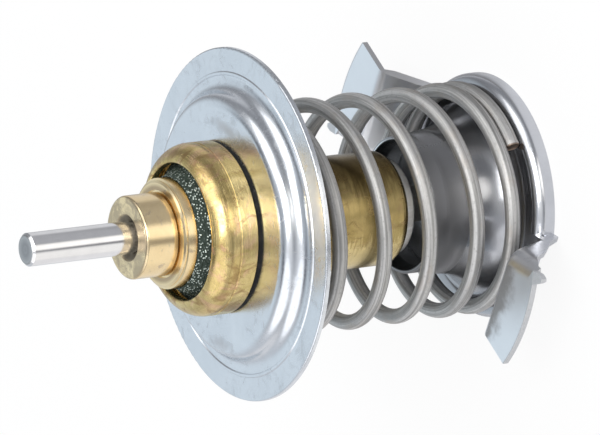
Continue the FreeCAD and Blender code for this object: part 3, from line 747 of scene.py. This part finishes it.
@dataclass(frozen=True)
class GrainySeal(Finish):
    """Dark green-black sealing compound with small light sparkles."""

    dark: Colour = (0.016, 0.024, 0.018)
    green: Colour = (0.045, 0.070, 0.054)
    sparkle: Colour = (0.85, 0.95, 0.88)
    grains_per_mm: float = 2.9
    grain_depth: float = 0.20

    def paint(self, graph: Graph) -> None:
        """Add clouds and grains, some of which sparkle.

        Args:
            graph: Empty graph of the material.
        """
        point = graph.place()
        cloud = graph.noise(point, 1.3, 4.0, 0.6)
        grains = graph.cells(point, self.grains_per_mm)
        sparkles = graph.step(grains, 0.40, 0.24) * graph.step(graph.noise(point, 0.9, 2.0), 0.36, 0.48)
        graph.surface(
            Base_Color=graph.mix(sparkles * 0.9, graph.mix(cloud, self.dark, self.green), self.sparkle),
            Metallic=sparkles * 0.8,
            Roughness=0.60 - 0.38 * sparkles + 0.15 * cloud,
            Normal=graph.bump(1.0 - grains, self.grain_depth, 1.0),
            Specular_IOR_Level=0.35,
        )


@dataclass(frozen=True)
class MouldedRubber(Finish):
    """Black rubber with a faint moulded grain."""

    black: Colour = (0.022, 0.022, 0.023)
    dust: Colour = (0.07, 0.07, 0.068)
    matt: float = 0.55

    def paint(self, graph: Graph) -> None:
        """Add dusty clouds and the grain of the mould.

        Args:
            graph: Empty graph of the material.
        """
        point = graph.place()
        cloud = graph.noise(point, 0.6, 5.0, 0.6)
        graph.surface(
            Base_Color=graph.mix(graph.step(cloud, 0.45, 0.75), self.black, self.dust),
            Roughness=self.matt + 0.15 * cloud,
            Normal=graph.bump(graph.noise(point, 5.0, 4.0, 0.6), 0.01, 0.7),
            Specular_IOR_Level=0.2,
        )


@dataclass(frozen=True)
class FilledWax(Finish):
    """Brown wax filled with copper powder."""

    wax: Colour = (0.42, 0.25, 0.14)
    dark_wax: Colour = (0.33, 0.19, 0.11)
    copper: Colour = (0.72, 0.42, 0.26)

    def paint(self, graph: Graph) -> None:
        """Add clouds of wax and specks of powder.

        Args:
            graph: Empty graph of the material.
        """
        point = graph.place()
        powder = graph.step(graph.cells(point, 4.0), 0.22, 0.10)
        cloud = graph.noise(point, 0.8, 4.0)
        graph.surface(
            Base_Color=graph.mix(powder * 0.7, graph.mix(cloud, self.wax, self.dark_wax), self.copper),
            Metallic=powder * 0.6,
            Roughness=0.55 - 0.15 * powder,
            Normal=graph.bump(cloud, 0.02, 0.6),
        )


# Surfaces


def circle(count: int) -> tuple[np.ndarray, np.ndarray]:
    """Return cosines and sines of a number of even turns round a full circle."""
    angle = np.linspace(0.0, 2 * np.pi, count, endpoint=False)
    return np.cos(angle), np.sin(angle)


def grid_faces(rows: int, columns: int, close_rows: bool) -> np.ndarray:
    """Number the quads of a grid of points whose rows are closed rings.

    A quad joins a point, the next one in its row, and the two under them in the next row.

    Args:
        rows: Rows of points.
        columns: Points in a row.
        close_rows: Whether the last row joins the first.

    Returns:
        One line of four point numbers per face.
    """
    i, j = np.meshgrid(np.arange(rows if close_rows else rows - 1), np.arange(columns), indexing="ij")
    below, right = (i + 1) % rows, (j + 1) % columns
    corners = [below * columns + j, below * columns + right, i * columns + right, i * columns + j]
    return np.stack([c.ravel() for c in corners], axis=1)


def fan(middle: int, first: int, count: int, flip: bool = False) -> np.ndarray:
    """Number the triangles that close a ring of points.

    A triangle joins the middle, a point of the ring and the next one.

    Args:
        middle: Number of the point in the middle.
        first: Number of the ring's first point.
        count: Points in the ring.
        flip: Whether the triangles face the other way.

    Returns:
        One line of three point numbers per face.
    """
    ring = np.arange(count)
    here, after = first + ring, first + (ring + 1) % count
    sides = [after, here] if flip else [here, after]
    return np.stack([np.full(count, middle), *sides], axis=1)


def new_mesh(
    name: str, points: np.ndarray, quads: np.ndarray, triangles: Sequence[np.ndarray] = ()
) -> bpy.types.Object:
    """Make an object with smooth faces.

    Args:
        name: Name of the object.
        points: One line of x, y, z in millimetres per point.
        quads: One line of four point numbers per face.
        triangles: Arrays with one line of three point numbers per face.

    Returns:
        The object, linked to the scene.
    """
    faces = [face for block in (quads, *triangles) for face in block.tolist()]
    mesh = bpy.data.meshes.new(name)
    mesh.from_pydata((points * MM).tolist(), [], faces)
    mesh.polygons.foreach_set("use_smooth", np.ones(len(mesh.polygons), dtype=bool))
    mesh.update()
    made = bpy.data.objects.new(name, mesh)
    bpy.context.scene.collection.objects.link(made)
    return made


def dress(node: str, finish: Finish) -> None:
    """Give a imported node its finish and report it.

    Args:
        node: Name of the node.
        finish: What it is dressed in.
    """
    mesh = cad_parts[node].data
    mesh.materials.clear()
    mesh.materials.append(finish.build())
    LOG.info("%s: %s, %d faces", node, finish.name, len(mesh.polygons))


# Sub-assemblies


@dataclass
class ReturnSpring:
    """The coil spring between the valve disc and the bridge's spring seat.

    The course gives turns from the lower end, and the share of the full rise that is reached there.
    """

    wire: float = 2.1
    diameter: float = 30.0
    start_angle: float = 244.3
    course: Sequence[tuple[float, float]] = (
        (0.0, 0.0), (0.933, 0.051), (1.933, 0.2056), (2.933, 0.4067),
        (3.933, 0.5976), (4.933, 0.7839), (5.933, 0.9611), (6.769, 1.0),
    )
    per_turn: int = 96
    around: int = 28
    end_bevel: float = 0.12
    still_end: float = 0.6

    def centre_line(self, foot: float, head: float) -> tuple[np.ndarray, np.ndarray]:
        """Work out the middle of the wire and how far along it each point is.

        The angle grows evenly. The height follows a cubic through the course's points, whose slope at
        each point is that between its two neighbours.

        Args:
            foot: Height of the middle of the wire at its lower end.
            head: The same at its upper end.

        Returns:
            Points in millimetres, and lengths along the wire.
        """
        turns_at, share_at = np.array(self.course).T
        before = np.maximum(np.arange(len(turns_at)) - 1, 0)
        after = np.minimum(np.arange(len(turns_at)) + 1, len(turns_at) - 1)
        slope = (share_at[after] - share_at[before]) / (turns_at[after] - turns_at[before])
        turns = np.linspace(0.0, turns_at[-1], int(turns_at[-1] * self.per_turn) + 1)
        k = np.clip(np.searchsorted(turns_at, turns, side="right") - 1, 0, len(turns_at) - 2)
        width = turns_at[k + 1] - turns_at[k]
        t = (turns - turns_at[k]) / width
        share = (
            (2 * t**3 - 3 * t**2 + 1) * share_at[k]
            + (t**3 - 2 * t**2 + t) * slope[k] * width
            + (3 * t**2 - 2 * t**3) * share_at[k + 1]
            + (t**3 - t**2) * slope[k + 1] * width
        )
        angle = np.radians(self.start_angle) + 2 * np.pi * turns
        radius, height = self.diameter / 2, foot + (head - foot) * share
        line = np.stack([radius * np.cos(angle), radius * np.sin(angle), height], axis=1)
        along = np.concatenate([[0.0], np.cumsum(np.linalg.norm(np.diff(line, axis=0), axis=1))])
        return line, along

    def surface(self, line: np.ndarray, along: np.ndarray) -> bpy.types.Object:
        """Carry a circle along the line.

        A point is the line's point plus the wire's radius times cos(a) outwards and sin(a) across,
        where outwards points away from the axis, square to the wire. Short bevels end in flat caps.

        Args:
            line: Middle of the wire.
            along: Lengths along the wire.

        Returns:
            The coil as a closed mesh with the UV map "wire".
        """
        ahead = np.gradient(line, axis=0)
        ahead /= np.linalg.norm(ahead, axis=1, keepdims=True)
        outward = line * np.array([1.0, 1.0, 0.0])
        outward -= ahead * np.sum(outward * ahead, axis=1, keepdims=True)
        outward /= np.linalg.norm(outward, axis=1, keepdims=True)
        across = np.cross(ahead, outward)
        order = np.concatenate([[0, 0], np.arange(1, len(line) - 1), [len(line) - 1] * 2])
        shift = np.zeros(len(order))
        shift[1], shift[-2] = self.end_bevel, -self.end_bevel
        radius = np.full(len(order), self.wire / 2)
        radius[[0, -1]] -= self.end_bevel
        middle = line[order] + ahead[order] * shift[:, None]
        cosine, sine = circle(self.around)
        ring = cosine[None, :, None] * outward[order][:, None] + sine[None, :, None] * across[order][:, None]
        rows = len(order)
        points = (middle[:, None] + radius[:, None, None] * ring).reshape(-1, 3)
        points = np.concatenate([points, line[[0, -1]]])
        caps = [
            fan(len(points) - 2, 0, self.around, flip=True),
            fan(len(points) - 1, (rows - 1) * self.around, self.around),
        ]
        made = new_mesh("return_spring", points, grid_faces(rows, self.around, False), caps)
        lengths = np.append(np.repeat(along[order] + shift, self.around), along[[0, -1]])
        self.map_wire(made.data, lengths, rows)
        return made

    def map_wire(self, mesh: bpy.types.Mesh, lengths: np.ndarray, rows: int) -> None:
        """Write the UV map: millimetres along the wire, and turns round it that run past 1 at the seam.

        Args:
            mesh: Mesh of the coil.
            lengths: Length along the wire of each point.
            rows: Rows of points before the two caps' middles.
        """
        corners = np.empty(len(mesh.loops), dtype=np.int64)
        totals = np.empty(len(mesh.polygons), dtype=np.int64)
        mesh.loops.foreach_get("vertex_index", corners)
        mesh.polygons.foreach_get("loop_total", totals)
        face = np.repeat(np.arange(len(totals)), totals)
        column = corners % self.around
        seam_face = np.zeros(len(totals), dtype=bool)
        np.logical_or.at(seam_face, face, column == self.around - 1)
        turn = column / self.around + np.where(seam_face[face] & (column == 0), 1.0, 0.0)
        turn[corners >= rows * self.around] = 0.5
        layer = mesh.uv_layers.new(name="wire")
        layer.data.foreach_set("uv", np.stack([lengths[corners], turn], axis=1).ravel())

    def build(self) -> None:
        """Make the coil between its two seats."""
        low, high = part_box("main_spring")
        foot, head = low.z / MM + self.wire / 2, high.z / MM - self.wire / 2
        line, along = self.centre_line(foot, head)
        coil = self.surface(line, along)
        coil.data.materials.append(DrawnWire("spring_wire", length=float(along[-1])).build())
        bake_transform(coil)
        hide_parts("main_spring")
        LOG.info("return_spring: %.0f mm of wire, %d faces", along[-1], len(coil.data.polygons))


@dataclass
class Seal:
    """The grainy compound between the guide's collar and the rolled edge of the cup."""

    inner: float = 7.56
    outer: float = 9.46
    outer_foot: float = 10.28
    foot: float = 46.34
    top: float = 47.88
    edge: float = 46.70
    crest: float = 50.35
    climb: float = 1.8
    grain: float = 0.20
    least_grain: float = 0.15
    lip: float = 0.10
    lip_width: float = 0.15
    side_steps: int = 12
    top_steps: int = 56
    around: int = 620
    seed: int = 7
    finish: GrainySeal = GrainySeal("seal_compound")

    def section(self) -> tuple[np.ndarray, np.ndarray, np.ndarray]:
        """Work out the section, which starts at the foot of its outside.

        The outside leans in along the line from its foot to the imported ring's top. It ends at the edge.
        From there the compound climbs the guide's collar to its crest, by its share of the width to the
        power of climb.

        Returns:
            Radii and heights round the section, and which points are on top.
        """
        up = np.linspace(0.0, 1.0, self.side_steps, endpoint=False)
        wide = np.linspace(0.0, 1.0, self.top_steps, endpoint=False)
        inner, outer_foot, foot, edge, crest = self.inner, self.outer_foot, self.foot, self.edge, self.crest
        rim = outer_foot + (self.outer - outer_foot) * (edge - foot) / (self.top - foot)
        sides = [
            (outer_foot + (rim - outer_foot) * up, foot + (edge - foot) * up),
            (rim + (inner - rim) * wide, edge + (crest - edge) * wide**self.climb),
            (np.full_like(up, inner), crest + (foot - crest) * up),
            (inner + (outer_foot - inner) * up, np.full_like(up, foot)),
        ]
        radius, height = np.concatenate(sides, axis=1)
        on_top = np.repeat([False, True, False, False], [len(across) for across, _ in sides])
        return radius, height, on_top

    def build(self) -> None:
        """Turn the section round the axis and sink the top by grains.

        The depth at a point is the grain size times the sum of its least share and a smoothed field of
        seeded random numbers, plus a lip that fades from either edge of the top.
        """
        radius, height, on_top = self.section()
        grains = np.random.default_rng(self.seed).random((self.around, len(radius)))
        grains = (grains + np.roll(grains, 1, 0) + np.roll(grains, 1, 1)) / 3
        inset = np.minimum(radius - self.inner, radius[on_top].max() - radius)
        drop = self.grain * (self.least_grain + grains) + self.lip * np.exp(-inset / self.lip_width)
        cosine, sine = circle(self.around)
        sunk = height - np.where(on_top, drop, 0.0)
        points = np.stack([np.outer(cosine, radius), np.outer(sine, radius), sunk], axis=2).reshape(-1, 3)
        ring = new_mesh("seal_grains", points, grid_faces(self.around, len(radius), True))
        ring.data.materials.append(self.finish.build())
        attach(ring, "element")
        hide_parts("sealing_ring")
        LOG.info("seal_grains: %d faces", len(ring.data.polygons))


@dataclass
class Element:
    """The wax element: cup, guide, pin, boot, wax and the thin washer under the head."""

    cup: Finish = TarnishedBrass("cup_brass")
    guide: Finish = TurnedBrass("guide_brass")
    pin: Finish = GroundSteel("pin_steel")
    boot: Finish = MouldedRubber("boot_rubber")
    washer: Finish = MouldedRubber(
        "washer_dark", black=(0.010, 0.010, 0.010), dust=(0.035, 0.033, 0.030), matt=0.7
    )
    wax: Finish = FilledWax("copper_wax")

    def build(self) -> None:
        """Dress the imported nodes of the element."""
        dress("element_cup", self.cup)
        dress("piston_guide", self.guide)
        dress("piston_pin", self.pin)
        dress("rubber_boot", self.boot)
        dress("seat_washer", self.washer)
        dress("wax_charge", self.wax)


@dataclass
class Valve:
    """The pressed disc that closes the housing's seat."""

    scuffs: Sequence[Scuff] = (
        Scuff(4.8, -13.2, half_length=5.0, half_width=1.2),
        Scuff(-7.7, 14.2, half_length=4.0, half_width=1.4),
        Scuff(-16.4, -14.6, half_length=10.0, half_width=2.2),
    )

    def build(self) -> None:
        """Dress the disc."""
        dress("valve_disc", PolishedSheet("disc_steel", scuffs=self.scuffs))


@dataclass
class Bridge:
    """The pressed bridge with its two wings."""

    finish: Finish = BridgeSheet("bridge_steel")

    def build(self) -> None:
        """Dress the bridge."""
        dress("bridge", self.finish)


@dataclass
class TailStop:
    """Stud, washer and clip that hold the bridge on the element."""

    stud: Finish = GroundSteel("stud_steel", light=(0.78, 0.76, 0.72), dark=(0.62, 0.60, 0.57), smooth=0.28)
    washer: Finish = PolishedSheet("washer_steel", smooth=0.24)
    clip: Finish = GroundSteel("clip_steel", light=(0.26, 0.27, 0.30), dark=(0.16, 0.16, 0.18), smooth=0.30)

    def build(self) -> None:
        """Dress the three nodes."""
        dress("tail_stud", self.stud)
        dress("stop_washer", self.washer)
        dress("retaining_clip", self.clip)


# Studio


def direction(azimuth: float, elevation: float) -> Point:
    """Return a unit vector at an azimuth from +X and an elevation above the floor, in degrees."""
    turn, rise = math.radians(azimuth), math.radians(elevation)
    return (math.cos(turn) * math.cos(rise), math.sin(turn) * math.cos(rise), math.sin(rise))


class Shape(Enum):
    """Shapes of a lamp."""

    PANEL = "RECTANGLE"
    ROUND = "DISK"


@dataclass(frozen=True)
class Lamp:
    """A soft lamp that looks at the middle of the object from a distance; its power is in watts."""

    name: str
    azimuth: float
    elevation: float
    distance: float
    width: float
    watts: float
    shape: Shape = Shape.PANEL

    def build(self, middle: Point) -> None:
        """Add the lamp.

        Args:
            middle: Middle of the object in millimetres.
        """
        data = bpy.data.lights.new(self.name, "AREA")
        data.shape = self.shape.value
        data.size = data.size_y = self.width * MM
        data.energy = self.watts
        way = Vector(direction(self.azimuth, self.elevation))
        made = bpy.data.objects.new(self.name, data)
        made.location = (Vector(middle) + way * self.distance) * MM
        made.rotation_euler = (-way).to_track_quat("-Z", "Y").to_euler()
        bpy.context.scene.collection.objects.link(made)


@dataclass(frozen=True)
class Lobe:
    """A soft patch of light or shade in the tent: full up to the inner angle, gone at the outer one."""

    azimuth: float
    elevation: float
    inner: float
    outer: float
    colour: Colour

    def over(self, graph: Graph, way: Value, tone: Any) -> Value:
        """Lay the patch over a tone.

        Args:
            graph: Graph of the world or the floor.
            way: Unit vector from the object outwards.
            tone: Colour of the tent without the patch.

        Returns:
            The colour with the patch.
        """
        inputs = {0: way, 1: direction(self.azimuth, self.elevation)}
        closeness = graph.node("ShaderNodeVectorMath", {"operation": "DOT_PRODUCT"}, inputs, output="Value")
        gone, full = math.cos(math.radians(self.outer)), math.cos(math.radians(self.inner))
        return graph.mix(graph.step(closeness, gone, full), tone, self.colour)


@dataclass(frozen=True)
class Tent:
    """The light tent: what polished metal sees round it, as lobes over a plain tone.

    From the photograph's side the flat faces mirror the lobe at azimuth 41, and the upright round
    pieces mirror the lobes with an elevation below zero, which lie on the floor.
    """

    plain: Colour = (0.29, 0.30, 0.32)
    lobes: Sequence[Lobe] = (
        Lobe(221.0, -82.0, 16.0, 38.0, (0.74, 0.75, 0.78)),
        Lobe(78.0, 4.0, 18.0, 46.0, (0.62, 0.66, 0.71)),
        Lobe(150.0, 48.0, 28.0, 58.0, (0.72, 0.74, 0.78)),
        Lobe(41.0, 28.0, 12.0, 42.0, (0.76, 0.85, 0.92)),
        Lobe(24.0, 50.0, 4.0, 17.0, (0.16, 0.17, 0.19)),
        Lobe(-70.0, 58.0, 24.0, 46.0, (0.80, 0.82, 0.85)),
        Lobe(60.0, 82.0, 10.0, 30.0, (0.42, 0.45, 0.49)),
        Lobe(97.0, 69.0, 3.0, 14.0, (0.08, 0.09, 0.11)),
        Lobe(221.0, 42.0, 12.0, 32.0, (0.84, 0.85, 0.86)),
        Lobe(345.0, -22.0, 10.0, 36.0, (0.65, 0.66, 0.69)),
        Lobe(287.0, -24.0, 20.0, 42.0, (0.28, 0.29, 0.32)),
        Lobe(310.0, -46.0, 12.0, 30.0, (0.12, 0.12, 0.13)),
        Lobe(105.0, -24.0, 18.0, 42.0, (0.84, 0.84, 0.86)),
        Lobe(162.0, -27.0, 18.0, 36.0, (1.0, 0.99, 0.97)),
        Lobe(186.0, -44.0, 8.0, 20.0, (1.0, 0.99, 0.97)),
        Lobe(230.0, 4.0, 6.0, 20.0, (2.10, 2.06, 1.98)),
        Lobe(225.0, -25.0, 8.0, 25.0, (1.30, 1.28, 1.24)),
        Lobe(201.0, -25.0, 3.0, 11.0, (0.08, 0.08, 0.09)),
    )

    def colour(self, graph: Graph, way: Value) -> Value:
        """Work out the tent's colour.

        Args:
            graph: Graph of the world or the floor.
            way: Unit vector from the object outwards.

        Returns:
            The colour in that direction.
        """
        tone: Any = self.plain
        for lobe in self.lobes:
            tone = lobe.over(graph, way, tone)
        return tone


@dataclass
class Camera:
    """The camera at the photograph's angle, rolled so that the pin points left.

    Right and up are the photograph's own directions in the frame of the object.
    """

    right: Point = (-0.4486, -0.2315, -0.8632)
    up: Point = (0.6067, -0.7881, -0.1041)
    aim_right: float = 8.633
    aim_up: float = 0.97
    distance: float = 900.0
    lens: float = 401.0
    sensor: float = 36.0
    nearest: float = 10.0

    def build(self, middle: Point) -> None:
        """Place the camera and make it the scene's own.

        It looks at the middle of the object, moved to the right and up by the aim. Up is made square
        to right.

        Args:
            middle: Middle of the object in millimetres.
        """
        right = Vector(self.right).normalized()
        back = right.cross(Vector(self.up)).normalized()
        up = back.cross(right)
        aim = Vector(middle) + right * self.aim_right + up * self.aim_up
        data = bpy.data.cameras.new("camera")
        data.lens = self.lens
        data.sensor_width = self.sensor
        data.clip_start = self.nearest * MM
        camera = bpy.data.objects.new("camera", data)
        turn = Matrix((right, up, back)).transposed().to_4x4()
        camera.matrix_world = Matrix.Translation((aim + back * self.distance) * MM) @ turn
        bpy.context.scene.collection.objects.link(camera)
        bpy.context.scene.camera = camera


@dataclass
class Studio:
    """Floor, lamps, light tent and camera. Mirrors see the tent on the floor as from the eye's height."""

    middle: Point = (0.0, 0.0, 40.2)
    eye_height: float = 45.0
    floor_rings: Sequence[float] = (20.0, 200.0, 600.0, 1500.0)
    floor_points: int = 96
    floor_drop: float = 0.02
    floor_tone: Colour = (0.80, 0.80, 0.80)
    floor_whiteness: float = 0.90
    floor_mirror: float = 0.8
    white: Colour = (1.0, 1.0, 1.0)
    even_light: Colour = (0.72, 0.73, 0.75)
    tent: Tent = Tent()
    lamps: Sequence[Lamp] = (
        Lamp("key_panel", 235.0, 50.0, 900.0, 550.0, 4.2),
        Lamp("top_panel", -60.0, 52.0, 900.0, 700.0, 1.8),
        Lamp("side_panel", 140.0, 40.0, 1000.0, 1100.0, 2.2, Shape.ROUND),
    )

    def seen(self, graph: Graph) -> tuple[Value, Value]:
        """Tell rays apart.

        Args:
            graph: Graph of the world or the floor.

        Returns:
            Whether a ray comes from the camera, and whether from a mirror or through glass.
        """
        camera = graph.node("ShaderNodeLightPath", output="Is Camera Ray")
        outputs = camera.socket.node.outputs
        glossy, through = (Value(graph, outputs[name]) for name in ("Is Glossy Ray", "Is Transmission Ray"))
        return camera, glossy.most(through)

    def floor_material(self) -> bpy.types.Material:
        """Make the floor's material: nearly white to the camera, the tent in mirrors, else pale.

        Returns:
            The material.
        """
        material, graph = new_material("pale_floor")
        camera_ray, mirror_ray = self.seen(graph)
        point = graph.node("ShaderNodeTexCoord", output="Object")
        eye = (0.0, 0.0, self.eye_height * MM)
        away = graph.node("ShaderNodeVectorMath", {"operation": "SUBTRACT"}, {0: point, 1: eye})
        away = graph.node("ShaderNodeVectorMath", {"operation": "NORMALIZE"}, {0: away})
        tent_colour = self.tent.colour(graph, away)
        lit = graph.node("ShaderNodeBsdfDiffuse", None, {"Color": self.floor_tone}, output="BSDF")
        white = graph.node("ShaderNodeEmission", None, {"Color": self.white, "Strength": 1.0})
        tent = graph.node("ShaderNodeEmission", None, {"Color": tent_colour, "Strength": 1.0})
        shader = lit
        parts = [(camera_ray * self.floor_whiteness, white), (mirror_ray * self.floor_mirror, tent)]
        for share, other in parts:
            inputs = {0: share, 1: shader, 2: other}
            shader = graph.node("ShaderNodeMixShader", None, inputs, output="Shader")
        graph.node("ShaderNodeOutputMaterial", None, {"Surface": shader})
        return material

    def floor(self) -> None:
        """Lay the floor: a round sheet of rings just under the object, which keeps a soft shadow."""
        cosine, sine = circle(self.floor_points)
        radius = np.array(self.floor_rings)
        x, y = np.outer(radius, cosine), np.outer(radius, sine)
        points = np.stack([x, y, np.full_like(x, -self.floor_drop)], axis=2).reshape(-1, 3)
        points = np.concatenate([points, [[0.0, 0.0, -self.floor_drop]]])
        cap = fan(len(points) - 1, 0, self.floor_points)
        faces = grid_faces(len(radius), self.floor_points, False)
        floor = new_mesh("studio_floor", points, faces, [cap])
        floor.data.materials.append(self.floor_material())

    def world(self) -> None:
        """Light the scene evenly, white behind the object, with the tent in mirrors."""
        world = bpy.data.worlds.new("studio")
        world.use_nodes = True
        bpy.context.scene.world = world
        graph = Graph(world.node_tree)
        camera_ray, mirror_ray = self.seen(graph)
        way = graph.node("ShaderNodeTexCoord", output="Generated")
        even = graph.mix(mirror_ray, self.even_light, self.tent.colour(graph, way))
        colour = graph.mix(camera_ray, even, self.white)
        shader = graph.node("ShaderNodeBackground", None, {"Color": colour, "Strength": 1.0})
        graph.node("ShaderNodeOutputWorld", None, {"Surface": shader})

    def build(self) -> None:
        """Set up the studio."""
        self.world()
        self.floor()
        for lamp in self.lamps:
            lamp.build(self.middle)
        Camera().build(self.middle)
        bpy.context.scene.view_settings.view_transform = "Standard"


def main() -> None:
    """Build the studio and dress every sub-assembly in order."""
    logging.basicConfig(level=logging.INFO, format="%(message)s")
    Studio().build()
    for assembly in (Element(), Seal(), Valve(), ReturnSpring(), Bridge(), TailStop()):
        assembly.build()


if __name__ == "__main__":
    main()
